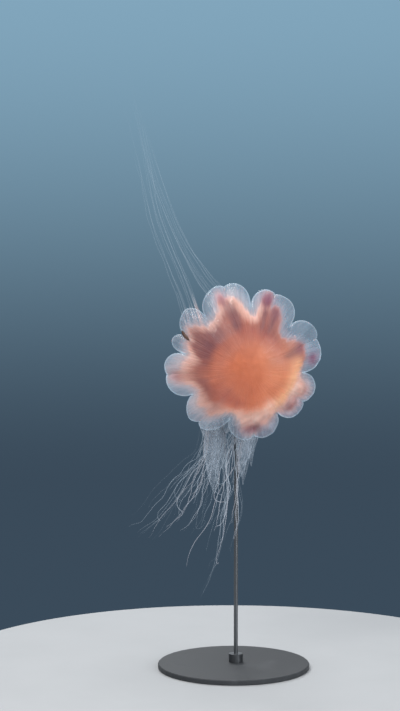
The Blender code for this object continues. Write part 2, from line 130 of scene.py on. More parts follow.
BIG_CLUB = 3  # the lobe whose sense organ is large and dark


# Shapes

def smoothstep(low, high, x):
    t = np.clip((x - low) / (high - low), 0, 1)
    return t * t * (3 - 2 * t)


def hump(x, middle, width):
    """1 at the middle, and near 0 two widths away."""
    return np.exp(-(((x - middle) / width) ** 2))


def smooth_through(stations, x):
    """The height at x of a smooth curve through a few (x, height) stations."""
    xs, ys = np.array(stations).T
    slopes = np.zeros(len(xs))
    slopes[1:-1] = (ys[2:] - ys[:-2]) / (xs[2:] - xs[:-2])
    slopes[-1] = (ys[-1] - ys[-2]) / (xs[-1] - xs[-2])
    i = np.clip(np.searchsorted(xs, x, side="right") - 1, 0, len(xs) - 2)
    span = xs[i + 1] - xs[i]
    t = (x - xs[i]) / span
    ends = ys[i] * (2 * t**3 - 3 * t**2 + 1) + ys[i + 1] * (3 * t**2 - 2 * t**3)
    return ends + span * (slopes[i] * (t**3 - 2 * t**2 + t) + slopes[i + 1] * (t**3 - t**2))


def lappet_place(angle):
    """The number of an angle's lappet, and where the angle lies in it: 0 at the cleft, 1 at the notch."""
    turned = (angle - EDGE_ANGLES[0]) % tau + EDGE_ANGLES[0]
    number = np.clip(np.searchsorted(EDGE_ANGLES, turned, side="right") - 1, 0, 2 * LOBES - 1)
    place = (turned - EDGE_ANGLES[number]) / (EDGE_ANGLES[number + 1] - EDGE_ANGLES[number])
    return number, np.where(number % 2 == 0, place, 1 - place)


def lappet_side(angle):
    """Where an angle lies across its lappet: 0 in its middle, 1 at the notch, -1 at the cleft."""
    return 2 * lappet_place(angle)[1] - 1


def outline(angle):
    """Radius of the bell's scalloped edge."""
    number, place = lappet_place(angle)
    tip = TIP_PLACES[number]
    cleft, notch = EDGE_SHARES[number + number % 2], EDGE_SHARES[number + 1 - number % 2]
    near_cleft = place < tip
    end = np.where(near_cleft, cleft, notch)
    away = np.clip(np.where(near_cleft, (tip - place) / tip, (place - tip) / (1 - tip)), 0, 1)
    full = FULLNESS[number]
    rise = (1 - away**full) ** (1 / full)
    return BELL_RADIUS * (end + (TIP_SHARES[number] - end) * rise)


def curled(angle):
    """1 on the side of the bell that curls under, 0 on the other."""
    return 0.5 + 0.5 * np.cos(angle - CURLED_SIDE)


def outer_height(radius, angle):
    share = radius / BELL_RADIUS
    droop = DROOP + DROOP_SWING * np.cos(angle - CURLED_SIDE)
    brim = smoothstep(CROWN_RADIUS, 1.2, share)
    cup = LAPPET_CUP * lappet_side(angle) ** 2 * smoothstep(0.68, 0.98, share)
    return smooth_through(OUTER_HEIGHTS, share) - 2 * droop * brim**1.5 - cup


def thickness(radius):
    return smooth_through(THICKNESSES, radius / BELL_RADIUS)


def inner_height(radius, angle):
    return outer_height(radius, angle) - thickness(radius)


OUT = np.array((
    sin(BELL_YAW) * cos(BELL_NOSE_DOWN),
    -cos(BELL_YAW) * cos(BELL_NOSE_DOWN),
    -sin(BELL_NOSE_DOWN),
))
RIGHT = np.array((cos(BELL_YAW), sin(BELL_YAW), 0))
UP = np.cross(OUT, RIGHT)
BACKWARDS = -OUT


def middle_of(node):
    low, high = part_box(node)
    return np.array((low + high) / 2)


# The stand's plate lies behind the mouth, which places the bell.
BELL_CENTRE = middle_of("stand_plate") + OUT * (PLATE_DEPTH / 2 + GAP - MOUTH_END)


def from_bell(millimetres):
    """World points that are so far right, back and up from the middle of the bell."""
    return BELL_CENTRE + np.array(millimetres) / 1000


def polar(radius, angle, height):
    """World points of places in the bell's frame. Its crown leans over the side that curls under."""
    lean = LEAN * np.maximum(height, 0)
    x = radius * np.cos(angle) + lean * cos(CURLED_SIDE)
    y = radius * np.sin(angle) + lean * sin(CURLED_SIDE)
    return BELL_CENTRE + np.stack(np.broadcast_arrays(x, y, height), -1) @ np.array((RIGHT, UP, OUT))


def bezier(controls, t):
    """Points at t, (strands, steps), of Bezier curves with (strands, controls, 3) control points."""
    last = controls.shape[1] - 1
    weights = [comb(last, k) * t**k * (1 - t) ** (last - k) for k in range(last + 1)]
    return np.einsum("snk,skc->snc", np.stack(weights, -1), controls)


def unit(vectors):
    return vectors / np.linalg.norm(vectors, axis=-1, keepdims=True)


def sides_along(lines):
    """Two unit vectors across (strands, steps, 3) lines, at right angles and without twist."""
    ahead = unit(np.gradient(lines, axis=1))
    side = np.empty_like(ahead)
    start = RIGHT
    for i in range(lines.shape[1]):
        start = unit(start - ahead[:, i] * np.sum(start * ahead[:, i], -1)[:, None])
        side[:, i] = start
    return side, np.cross(ahead, side)


scene = bpy.context.scene


def placed(name, data):
    """A new object with this mesh, light or camera, in the scene."""
    made = bpy.data.objects.new(name, data)
    scene.collection.objects.link(made)
    return made


class Piece:
    """Points, faces and painted masks gathered for one mesh, and made into one object."""

    def __init__(self, name):
        self.name, self.count = name, 0
        self.points, self.faces, self.places, self.finishes, self.masks = [], [], [], [], {}

    def add(self, points, quads, places, finish=0, **masks):
        """points (..., 3); quads (m, 4); places (m, 4, 2) on the unwrapped surface; masks like points."""
        shape, count = points.shape[:-1], points.size // 3
        self.points.append(points.reshape(-1, 3))
        self.faces.append(quads + self.count)
        self.places.append(places)
        self.finishes.append(np.broadcast_to(finish, len(quads)))
        for key, values in masks.items():
            values = np.broadcast_to(values, shape + np.shape(values)[len(shape):])
            self.masks.setdefault(key, []).append(values.reshape(count, -1))
        self.count += count

    def make(self, materials, replaces=()):
        points, quads, places = map(np.concatenate, (self.points, self.faces, self.places))
        a, b, c, d = np.moveaxis(points[quads], 1, 0)
        if np.sum(a * np.cross(c - a, d - b)) < 0:  # the faces look inwards
            quads, places = quads[:, ::-1], places[:, ::-1]
        mesh = bpy.data.meshes.new(self.name)
        mesh.from_pydata(points, [], quads)
        mesh.uv_layers.new(name="OFBake").data.foreach_set("uv", places.astype(np.float32).ravel())
        for key, parts in self.masks.items():
            values = np.concatenate(parts).astype(np.float32)
            kind, field = ("FLOAT_VECTOR", "vector") if values.shape[1] == 3 else ("FLOAT", "value")
            mesh.attributes.new(key, kind, "POINT").data.foreach_set(field, values.ravel())
        for material in materials:
            mesh.materials.append(material)
        mesh.polygons.foreach_set("material_index", np.concatenate(self.finishes).astype(np.int32))
        mesh.shade_smooth()
        made = placed(self.name, mesh)
        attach(made, "root")
        if replaces:
            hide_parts(*replaces)


def ring_quads(rows, columns):
    """The quads between rings of points, and their corners' (row, column)."""
    i, j = np.meshgrid(np.arange(rows - 1), np.arange(columns), indexing="ij")
    corners = np.stack([np.stack((i + a, j + b), -1) for a, b in ((0, 0), (0, 1), (1, 1), (1, 0))], -2)
    corners = corners.reshape(-1, 4, 2)
    return corners[..., 0] * columns + corners[..., 1] % columns, corners


def end_cap(columns):
    """The quads that close a ring of an even number of points, turned as the ring runs."""
    i = np.arange(columns // 2 - 1)
    return np.stack((i, i + 1, columns - 2 - i, columns - 1 - i), -1)


def tube(rows, columns):
    """The quads of rings of points closed at both ends, and their corners' places on a unit square."""
    quads, corners = ring_quads(rows, columns)
    cap = end_cap(columns)
    caps = np.concatenate((cap[:, ::-1], cap + (rows - 1) * columns))
    ends = np.stack(np.divmod(caps, columns), -1)
    return np.concatenate((quads, caps)), np.concatenate((corners, ends)) / (rows - 1, columns)


def thin_sheet(piece, front, back, **masks):
    """A closed sheet between two grids of points, (rows, columns, 3)."""
    rows, columns = front.shape[:2]
    for key, values in masks.items():
        values = np.broadcast_to(values, (rows, columns))
        masks[key] = np.concatenate((values, values[:, ::-1]), axis=1)
    piece.add(np.concatenate((front, back[:, ::-1]), axis=1), *tube(rows, 2 * columns), **masks)


# The bell

def turned_from(angle, degrees):
    """The turn to an angle from one in degrees, within half a turn either way."""
    return (angle - radians(degrees) + pi) % tau - pi


def round_hump(angle, degrees, width):
    """1 at an angle, and near 0 two widths away, both in degrees."""
    return hump(turned_from(angle, degrees), 0, radians(width))


def round_span(angle, first, last, soft):
    """1 from the first angle to the last, fading out over a few degrees beyond them."""
    half = radians(last - first) / 2
    return smoothstep(half + radians(soft), half, np.abs(turned_from(angle, (first + last) / 2)))


def star_limit(angle):
    """Share of the radius where the coloured star ends."""
    waist = np.interp(angle, CLEFTS[:-1], WAISTS, period=tau)
    limit = waist
    for prong in PRONGS:
        away = np.abs(turned_from(angle, prong.angle)) / radians(prong.width)
        limit = np.maximum(limit, waist + (prong.reach - waist) * np.exp(-(away**prong.blunt)))
    return limit + 0.003 * np.sin(23 * angle) + 0.002 * np.sin(41 * angle + 2)


def bell_masks(radius, angle, edge):
    """What is painted on the bell: shares from 0 to 1 at each point, and places to grow streaks from."""
    share = radius / BELL_RADIUS
    limit = star_limit(angle)
    from_line = distance_to_line(radius, angle, lambda places: star_limit(places) * BELL_RADIUS) / BELL_RADIUS
    spot_turn = turned_from(angle, RED_SPOT[0]) * RED_SPOT[1]
    brown, red = np.zeros(radius.shape), hump(np.hypot(spot_turn, share - RED_SPOT[1]), 0, 0.1)
    for prong in PRONGS:
        away = turned_from(angle, prong.angle) / radians(prong.width)
        length = smoothstep(0.4, 0.55, share) * smoothstep(prong.reach + 0.02, prong.reach - 0.06, share)
        brown = np.maximum(brown, prong.brown * hump(away, 0, 0.7) * length)
        red = np.maximum(red, prong.red * hump(away, 0, 0.95) * hump(share, prong.reach - 0.07, 0.095))

    def patch(strength, where, soft, *along):
        """A soft patch at an angle or between two, along the whole radius or about a share of it."""
        spans = isinstance(where, tuple)
        round_it = round_span(angle, *where, soft) if spans else round_hump(angle, where, soft)
        return strength * round_it * (hump(share, *along) if along else 1)

    def patches(*rows):
        return np.array([patch(*row) for row in rows])

    # painted shade: the star darker on its upper side, most on the upper left, fading towards the brim
    shade_side = patches((1, 151, 40), (0.65, 62, 28)).max(0)
    faded = 0.3 + patch(0.7, (172, 215), 14)
    shade_side = shade_side * (1 - smoothstep(0.56, 0.74, share) * faded)
    shade_side = np.maximum(shade_side, patch(0.75, 205, 18, 0.57, 0.1))
    shaded = patches((0.65, (15, 225), 35), (0.35, 135, 30)).sum(0) * smoothstep(0.15, 0.4, share)
    shaded = np.maximum(shaded, patch(0.9, (12, 62), 10, 0.62, 0.16))
    # pale pink patches near the prongs: partly the tissue's own pink, partly painted light, most of it on the
    # lower right
    pink_and_light = patches(
        (0.65, 302, 8, 0.59, 0.09), (0.5, 189, 11, 0.8, 0.09), (0.4, (217, 239), 8, 0.735, 0.07),
        (0.25, 107, 9, 0.76, 0.06), (0.25, (235, 262), 9, 0.61, 0.08), (1, 332, 10, 0.75, 0.095),
        (0.7, (262, 292), 10, 0.65, 0.09), (1.1, (264, 342), 9, 0.75, 0.065),
    ).sum(0)
    blushed = 1 - patches((0.6, (-4, 62), 9), (0.3, (76, 142), 6), (0.3, 138, 7)).sum(0)
    rimmed = 1 - patches(
        (0.92, (-4, 62), 9), (0.25, (120, 140), 8), (0.45, (146, 159), 7), (0.35, (203, 215), 6),
        (0.35, (243, 262), 8),
    ).sum(0)
    wider = patches((0.9, (173, 184), 7), (0.3, 85, 12), (0.6, 97, 7), (0.2, 129, 14), (0.9, 226, 13))
    # how milky the brim is, with painted light where the brim is brighter, most on its lower left
    milk_and_light = patches((0.05, 92, 14), (0.85, 205, 36), (0.3, 228, 13), (0.4, 294, 22), (0.25, 335, 10))
    lilac = patch(1, -45, 48) * smoothstep(0.66, 0.84, share)
    return dict(
        shaded=shaded,
        pink_and_light=np.clip(pink_and_light, 0, 1),
        rimmed=np.clip(rimmed, 0, 1),
        blushed=np.clip(blushed, 0, 1),
        wide=1 + wider.sum(0),
        milk_and_light=np.clip(0.1 + milk_and_light.sum(0), 0, 1),
        inside=np.sign(limit - share) * from_line,
        # brown along the prongs, and the painted shade on the star's upper side
        brown_and_shade=np.maximum(np.clip(shade_side, 0, 1) * smoothstep(0.4, 0.53, share), 0.95 * brown),
        rust=patches((1, 66, 42, 0.46, 0.1), (0.9, 243, 30, 0.46, 0.1), (0.8, 18, 13, 0.6, 0.07)).max(0),
        red=red,
        # painted light: a bright patch on the star's lower right
        painted_light=np.clip(patch(1.3, -26, 38), 0, 1) * hump(share, 0.64, 0.1),
        # painted light: the middle of the star brighter orange on its right
        lit_side=patch(1, 15, 55, 0.42, 0.22),
        # painted shade: the middle of the star darker red towards the bottom
        shade_below=patch(1, 255, 70, 0.2, 0.17),
        lilac=np.maximum(lilac, patch(0.8, (28, 54), 8, 0.62, 0.1)),
        # painted light: a paler band along the edge, as it looks where light passes through more jelly
        edge_light=hump(edge, 0, 0.0019),
        brim=smoothstep(0.55, 0.8, share),
        rays=np.stack((np.cos(angle), np.sin(angle), share), -1),
    )


def angles_round(per_lappet):
    """Angles round the bell, crowded at the clefts and notches, where the edge curves most."""
    crowded = 0.5 - 0.5 * np.cos(np.pi * np.arange(per_lappet) / per_lappet)
    return (EDGE_ANGLES[:-1, None] + np.diff(EDGE_ANGLES)[:, None] * crowded).ravel()


def distance_to_line(radius, angle, line):
    """How far places on the bell are from a line round it, as if the bell were laid flat."""
    round_it = angles_round(256)
    line = line(round_it) * np.exp(1j * round_it)
    return np.array([np.abs(row[:, None] - line).min(axis=1) for row in radius * np.exp(1j * angle)])


def bell_skin(materials):
    """The whole bell as one skin, clear outside and coloured inside, to its scalloped edge."""
    crown_rings, brim_rings = 32, 44
    angle = angles_round(32)[None, :]
    crown = BELL_RADIUS * CROWN_RADIUS
    inner = np.linspace(0.02, 1, crown_rings, endpoint=False)[:, None] * crown
    out = 1 - (1 - np.linspace(0, 1, brim_rings)[:, None]) ** 1.5
    radius = np.concatenate((inner + 0 * angle, crown + (outline(angle) - crown) * out))
    edge = distance_to_line(radius, angle, outline)
    edge[-1] = 0
    share, side = radius / BELL_RADIUS, lappet_side(angle)

    # furrows run in towards the crown from each cleft and notch, and the lappets' edges are ruffled
    furrow = -0.0008 * side**2 * hump(share, 0.7, 0.16)
    ruffle = np.sin(37 * angle + 3 * np.sin(5 * angle)) + 0.6 * np.sin(71 * angle + 2 * np.sin(9 * angle))
    ruffle = ruffle * (0.0004 + 0.0012 * curled(angle) ** 3) * smoothstep(0.8, 1, share)
    crumple = np.sin(23 * angle + 14 * share) * np.sin(27 * share + 2 * angle) * curled(angle) ** 4
    crumple = crumple * 0.003 * hump(share, 0.84, 0.14)
    swell = 0.0006 * np.sin(5 * angle + 6 * share) * np.sin(9 * share + 1) * smoothstep(0.05, 0.5, share)
    middle = outer_height(radius, angle) - thickness(radius) / 2 + furrow + ruffle + crumple
    rounded = np.sqrt(np.clip(1 - (1 - np.clip(edge / 0.0032, 0, 1)) ** 2, 0, 1))
    half = thickness(radius) / 2 * rounded
    # under the bell, rings of muscle in the middle and bundles that fan out into the lobes
    rings = 0.0004 * np.sin(share * 150 + 1.5 * np.sin(3 * angle)) * hump(share, 0.47, 0.1)
    bundles = 0.0004 * np.abs(np.sin(64 * angle + 2 * np.sin(7 * angle))) * hump(share, 0.66, 0.09)
    outer = polar(radius, angle, middle + half + swell)
    inner = polar(radius, angle, middle - half - (rings + bundles) * rounded)

    piece = Piece("bell_skin")
    count, columns = radius.shape
    flat = np.stack((radius * np.cos(angle), radius * np.sin(angle)), -1).reshape(-1, 2) / BELL_RADIUS
    quads, _ = ring_quads(count, columns)
    upper = np.concatenate((quads, end_cap(columns)[:, ::-1]))
    # the inside shares the edge's ring of points with the outside
    lower = upper[:, ::-1]
    joined = np.where(lower < (count - 1) * columns, lower + radius.size, lower)
    left, right = (flat * (0.24, 0.48) + (middle_u, 0.5) for middle_u in (0.25, 0.75))
    masks = bell_masks(radius, np.broadcast_to(angle, radius.shape), edge)
    both = {key: np.concatenate((values, values[:-1])) for key, values in masks.items()}
    piece.add(
        np.concatenate((outer, inner[:-1])), np.concatenate((upper, joined)),
        np.concatenate((left[upper], right[lower])), finish=np.repeat((0, 1), len(upper)), **both,
    )
    piece.make(materials, ("bell_crown", *(f"bell_lobe_{i + 1}" for i in range(LOBES))))


def sense_organs(material):
    """The eight small clubs in the notches between a lobe's two lappets, one of them large and dark."""
    piece = Piece("sense_organs")
    rows, columns = 14, 12
    turn = np.linspace(0, tau, columns, endpoint=False)
    along = np.linspace(-1, 1, rows)[:, None]
    wide = np.sqrt(np.clip(1 - along**2, 0.01, 1))
    quads, places = tube(rows, columns)
    for number in range(LOBES):
        big = number == BIG_CLUB
        half_length, half_width, slant = (0.0095, 0.0036, 0.45) if big else (0.0028, 0.0009, 0)
        angle, notch = EDGE_ANGLES[2 * number + 1], EDGE_SHARES[2 * number + 1] * BELL_RADIUS
        middle = notch + (0.003 if big else -0.0035)
        radius = middle + along * half_length
        bent = along * slant + 0.12 * along**2 * big
        aside = bent * half_length + wide * np.cos(turn) * half_width
        height = outer_height(np.minimum(radius, notch), angle) - 0.0006
        height = height + wide * np.sin(turn) * half_width * 0.7
        strip = places * (0.9, 0.1) + (0.05, number / LOBES)
        piece.add(polar(radius, angle - aside / middle, height), quads, strip, shade=float(big))
    piece.make([material])


# What hangs under the bell

def mouth_stalk(material):
    """The fluted stalk of the mouth, pleated, with a frilled lip."""
    around, rows = 192, 40
    angle = np.linspace(0, tau, around, endpoint=False)[None, :]
    down = np.linspace(0, 1, rows)[:, None]
    flute = 1 + MOUTH_FLUTE * np.cos(4 * (angle - FIRST_ARM))
    pleats = 1 + 0.035 * np.sin(32 * angle + 2 * np.sin(4 * angle)) * smoothstep(0.05, 0.5, down)
    lip = 1 + 0.05 * np.sin(56 * angle) * smoothstep(0.75, 1, down)
    radius = (MOUTH_RADIUS - 0.0015) * flute * (1 - 0.12 * np.sin(pi * down)) * pleats * lip
    top = inner_height(radius, angle) - HUNG_GAP
    height = top + (MOUTH_END + 0.0004 - top) * down
    piece = Piece("mouth_stalk")
    piece.add(polar(radius, angle, height), *tube(rows, around), along=1 - down)
    piece.make([material], ("mouth",))


def gonad_folds(number, material):
    """One of the four folded sacs between the oral arms."""
    out, across = np.meshgrid(np.linspace(0, 1, 56), np.linspace(-1, 1, 72), indexing="ij")
    radius = GONAD_INNER + (GONAD_OUTER - GONAD_INNER) * out
    rounded = np.sqrt(1 - (1.9 * (out - 0.5)) ** 2)
    angle = FIRST_GONAD + number * tau / 4 + GONAD_HALF_ANGLE * across * rounded
    bulge = np.clip(np.sin(pi * out) * np.cos(pi / 2 * across), 0, 1) ** 0.6
    bend = 1.3 * np.sin(5 * across + number) + 0.8 * np.sin(9 * out + 2 * number)
    folds = 0.5 + 0.5 * np.sin(26 * out + 3.2 * bend) * np.cos(17 * across + 2.4 * bend)
    top = inner_height(radius, angle) - HUNG_GAP
    depth = 0.0006 + GONAD_DEPTH * bulge * (0.72 + 0.28 * folds)
    piece = Piece(f"gonad_folds_{number + 1}")
    # the folds go on the mesh as along, which the finish darkens with painted shade in their creases
    thin_sheet(piece, polar(radius, angle, top), polar(radius, angle, top - depth), along=folds)
    piece.make([material], (f"gonad_{number + 1}",))


def arm_controls(number):
    angle = FIRST_ARM + number * tau / 4
    root = polar(ARM_ROOT_RADIUS, angle, MOUTH_END - ARM_GAP)
    end = from_bell(ARM_ENDS[number])
    spread = polar(ARM_SPREAD, angle, 0) - polar(0, angle, 0)
    first = root + BACKWARDS * 0.09 + spread
    second = end + np.array((0, 0, 0.11)) + BACKWARDS * 0.02
    return np.stack((root, first, second, end))[None]


CURTAIN_WIDTHS = (0.75, 1, 1, 0.65)  # the first and last arms' curtains are drawn in


def oral_arm_curtain(number, material):
    """An oral arm as the animal has it: two thin curtains hung on one rib, ruffled at the edges."""
    steps, wide = 300, 44
    t = np.linspace(0, 1, steps)
    line = bezier(arm_controls(number), t[None])
    side, other = (vectors[0][:, None] for vectors in sides_along(line))
    middle = line[0][:, None]
    u = np.linspace(-1, 1, wide)[None, :, None]
    along = t[:, None, None]
    turns = tau * along
    piece = Piece(f"oral_arm_curtain_{number + 1}")
    for layer, (spread, fold, phase) in enumerate(((1, 0.006, 0), (0.72, -0.007, 1.9))):
        phase += number * 1.3
        reach = np.abs(u)
        # the curtain is widest past its middle, and ends in a ragged tongue
        width = CURTAIN_WIDTHS[number] * spread * (0.016 + 0.012 * np.sin(pi * along**0.9))
        width = width * np.sqrt(smoothstep(1, 0.72, along))
        width = width * (1 + 0.16 * np.sin(3.1 * turns + phase)) + 0.0004
        flow = 0.55 * np.sin(1.7 * turns + phase) + 0.25 * u
        big = 0.0068 * np.sin(4.7 * turns + phase + 1.1 * np.sign(u) + flow)
        small = 0.0023 * np.sin(14.5 * turns + 2 * phase + 1.7 * u)
        tiny = 0.0008 * np.sin(37 * turns + 3 * phase + 2.3 * u)
        ripple = reach**1.3 * big + reach**2.2 * small + reach**4 * tiny
        ripple = ripple * smoothstep(0, 0.12, along) * (1 - 0.45 * along)
        drawn = 1 - 0.08 * reach * np.cos(5.3 * turns + phase)
        centre = middle + side * u * width * drawn + other * (fold * reach * spread + ripple)
        down = unit(np.gradient(centre, axis=0))
        sideways = unit(np.gradient(centre, axis=1))
        normal = unit(np.cross(down, sideways))
        rib = 0.002 * hump(reach, 0, 0.22) * (1 - along) ** 1.5
        thick = 0.00025 + rib * (1 if layer == 0 else 0.2)
        faces = centre + normal * thick, centre - normal * thick
        thin_sheet(piece, *faces, along=along[..., 0], lace=reach[..., 0])
    nodes = [f"oral_arm_{number + 1}_{length}" for length in ("upper", "lower")]
    piece.make([material], nodes)


def pad_radius(offset):
    return PAD_INNER + PAD_BOW * (offset / PAD_HALF_ANGLE) ** 2


def lobe_middle(number):
    return (CLEFTS[number] + CLEFTS[number + 1]) / 2


def add_pad(piece, number):
    """The crescent that a group's tentacles grow from, knobbly with their roots."""
    out, across = np.meshgrid(np.linspace(0, 1, 20), np.linspace(-1, 1, 90), indexing="ij")
    offset = PAD_HALF_ANGLE * across
    radius = pad_radius(offset) + PAD_WIDTH * (0.5 + (out - 0.5) * np.sqrt(1 - 0.97 * across**2))
    angle = lobe_middle(number) + offset
    top = inner_height(radius, angle) - PAD_HANG
    knobs = 0.5 + 0.5 * np.sin(out * 4 * tau) * np.sin(across * 17 * pi)
    bulge = np.clip(np.sin(pi * out) * np.sqrt(1 - across**2), 0, 1) ** 0.35
    depth = 0.0004 + PAD_DEPTH * bulge * (0.8 + 0.2 * knobs)
    thin_sheet(piece, polar(radius, angle, top), polar(radius, angle, top - depth), along=0, shade=0.5)


ROD_FOOT = middle_of("stand_collar")


ROD_CLEARANCE = 0.0065
ROD_ARM = 0.13  # how far back from the bell its arm runs


def clear_of_rod(points):
    """Moves points that lie too near the rod's upright or its arm out to the clearance from it."""
    upright = points - ROD_FOOT
    upright[..., 2] = 0
    below = points[..., 2:] < BELL_CENTRE[2] + 0.01
    arm = points - BELL_CENTRE
    reach = arm @ BACKWARDS
    arm = arm - reach[..., None] * BACKWARDS
    beside = (reach[..., None] < ROD_ARM) & (reach[..., None] > 0)
    for away, near in ((upright, below), (arm, beside)):
        length = np.linalg.norm(away, axis=-1, keepdims=True) + 1e-9
        push = np.clip(ROD_CLEARANCE - length, 0, None) * near
        points = points + away / length * push
    return points


def tentacle_lines(number, count, shortest, longest, steps, random):
    """Lines of a group's tentacles, (count, steps, 3), and the share of the full curve along them."""

    def each(low, high):
        """A number of its own for each tentacle."""
        return random.uniform(low, high, count)[:, None]

    def wave(fewest, most):
        """A wave along each tentacle, with its own number of cycles and start."""
        return np.sin(tau * (each(fewest, most) * t + each(0, 1)))

    group = GROUPS[number]
    lane = (np.arange(count) + random.uniform(0, 1, count)) / count - 0.5
    row = random.integers(0, 4, count)
    offset = 1.85 * lane * PAD_HALF_ANGLE
    angle = lobe_middle(number) + offset
    radius = pad_radius(offset) + PAD_WIDTH * (row + 0.5) / 4
    root = polar(radius, angle, inner_height(radius, angle) - HUNG_GAP - PAD_DEPTH * 0.5)
    length = shortest + (longest - shortest) * random.uniform(0, 1, count) ** 1.3
    first = root + BACKWARDS * group.back / 1000 * each(0.85, 1.1)
    waist = from_bell(group.waist + np.outer(lane, group.waist_fan))
    end = from_bell(group.end + np.outer(lane, group.end_fan))
    way = unit(np.array(group.way))
    last = end - way * np.linalg.norm(end - waist, axis=-1, keepdims=True) * 0.4
    controls = np.stack((root, first, waist, waist, last, end), 1)
    t = length[:, None] * np.linspace(0, 1, steps)[None]
    lines = bezier(controls, t)
    across = unit(np.cross(way, BACKWARDS))
    lift = np.cross(across, way)
    sway = 0.008 * np.sin(tau * (1.35 * t + 0.21 * number)) * smoothstep(0, 0.5, t)
    rise = 0.005 * np.sin(tau * (2.1 * t + 0.13 * number + 0.3)) * smoothstep(0, 0.5, t)
    away = smoothstep(0.02, 0.7, t)
    calm = 0.35 if number in UPWARD_GROUPS else 1
    for direction in (across, lift):
        shift = random.normal(0, 0.0055, count)[:, None] * away
        slow = wave(1.5, 4.0) * away * 0.0042
        curl, crimp = wave(5, 9) * each(0.0004, 0.0022), wave(12, 18) * each(0, 0.0006)
        swing = sway if direction is across else rise
        move = swing + calm * (shift + slow + (curl + crimp) * smoothstep(0.02, 0.2, t))
        lines = lines + move[..., None] * direction
    # some end in a loose hook
    hooked = each(0, 1) < group.hooked / 100
    turn = smoothstep(0.84, 1, np.linspace(0, 1, steps))[None] * each(2.4, 4.6)
    size = each(0.004, 0.009) * hooked
    hook = np.where(each(0, 1) < 0.5, -1, 1)
    lines = lines + (size * hook * (1 - np.cos(turn)))[..., None] * across
    lines = lines - (size * (turn - np.sin(turn)) * 1.4)[..., None] * way
    return clear_of_rod(lines), t


STRAND_SIDES = 6


def add_strands(piece, lines, t, radii, first_column, columns, shade):
    """Closed tubes along lines, each on a strip of its own in the unwrap."""
    count, steps = lines.shape[:2]
    side, other = sides_along(lines)
    turn = tau * np.arange(STRAND_SIDES)[:, None] / STRAND_SIDES
    ring = side[:, :, None] * np.cos(turn) + other[:, :, None] * np.sin(turn)
    quads, places = tube(steps, STRAND_SIDES)
    start = np.arange(count)[:, None, None]
    column = (first_column + start) / columns
    strips = places[:, :, ::-1] * (0.9 / columns, 1) + np.stack((column, 0 * column), -1)
    piece.add(
        lines[:, :, None] + ring * radii[:, :, None, None],
        (quads + start * steps * STRAND_SIDES).reshape(-1, 4), strips.reshape(-1, 4, 2),
        along=t[:, :, None], shade=shade[:, None, None],
    )


def tentacles(number, material):
    """One group: its pad, its long tentacles, which trail to the end, and its many short ones."""
    group = GROUPS[number]
    random = np.random.default_rng(70 + number)
    piece = Piece(f"tentacles_{number + 1}")
    add_pad(piece, number)
    upward = number in UPWARD_GROUPS
    # how many there are, the shares of the way that they go, the points along each, and the radius
    kinds = (
        (group.long, 0.8 if upward else 0.74, 1, 190, 0.0008),
        (group.short, 0.12 if upward else 0.26, group.short_reach / 100, 110, 0.0007),
    )
    first = 0
    for count, shortest, longest, steps, thick in kinds:
        lines, t = tentacle_lines(number, count, shortest, longest, steps, random)
        taper = np.linspace(0, 1, steps)[None]
        size = thick * random.lognormal(0, 0.26, count)[:, None]
        radii = size * (1.3 - 0.7 * taper) * (1 - 0.5 * smoothstep(0.93, 1, taper))
        beads = 1 + 0.06 * np.sin(tau * random.uniform(34, 60, count)[:, None] * t)
        shade = (0.15 if upward else 1) * random.uniform(0, 1, count) ** 1.5
        add_strands(piece, lines, t, radii * beads, first, group.long + group.short, shade)
        first += count
    nodes = [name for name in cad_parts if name.startswith(f"tentacle_{number + 1}_")]
    piece.make([material], (f"tentacle_group_{number + 1}", *sorted(nodes)))


# Finishes

def feed(socket, value):
    """Links an input to a node's output, or sets it to a plain value."""
    if isinstance(value, bpy.types.NodeSocket):
        socket.id_data.links.new(value, socket)
    else:
        socket.default_value = value


def put(tree, kind, sockets=None, **settings):
    """Adds a node, with its settings and with values or links for its inputs."""
    made = tree.nodes.new("ShaderNode" + kind)
    for key, value in settings.items():
        setattr(made, key, value)
    for key, value in (sockets or {}).items():
        feed(made.inputs[key], value)
    return made


# Each of these puts its nodes into the tree of the value that it is given.

def sums(operation, a, b=0, c=0):
    return put(a.id_data, "Math", {0: a, 1: b, 2: c}, operation=operation).outputs[0]


def times(a, b):
    return sums("MULTIPLY", a, b)


def thicker(film, *layers):
    """A film with more on it: (mask, amount) layers."""
    for where, amount in layers:
        film = sums("MULTIPLY_ADD", where, amount, film)
    return film


def between(value, low, high, to_low=0, to_high=1):
    """A value brought from one range to another, and kept in it."""
    sockets = {"Value": value, "From Min": low, "From Max": high, "To Min": to_low, "To Max": to_high}
    return put(value.id_data, "MapRange", sockets, interpolation_type="SMOOTHSTEP").outputs["Result"]


def over(colour, *layers):
    """A colour with others over it in turn: (share, colour) layers."""
    for share, top in layers:
        a, b = (x if isinstance(x, bpy.types.NodeSocket) else (*x, 1) for x in (colour, top))
        colour = put(share.id_data, "Mix", {0: share, 6: a, 7: b}, data_type="RGBA").outputs[2]
    return colour


def noise(vector, scale, detail, roughness, distortion=0):
    sockets = dict(Vector=vector, Scale=scale, Detail=detail, Roughness=roughness, Distortion=distortion)
    return put(vector.id_data, "TexNoise", sockets).outputs["Fac"]


def drawn_out(vector, scale, detail, roughness):
    """Noise with a scale of its own along each axis."""
    vector = put(vector.id_data, "Mapping", {"Vector": vector, "Scale": scale}).outputs["Vector"]
    return noise(vector, 1, detail, roughness)


def cells(vector, scale, low, high):
    """Round dots, 1 in their middles."""
    cell = put(vector.id_data, "TexVoronoi", {"Vector": vector, "Scale": scale})
    return between(cell.outputs["Distance"], low, high, 1, 0)


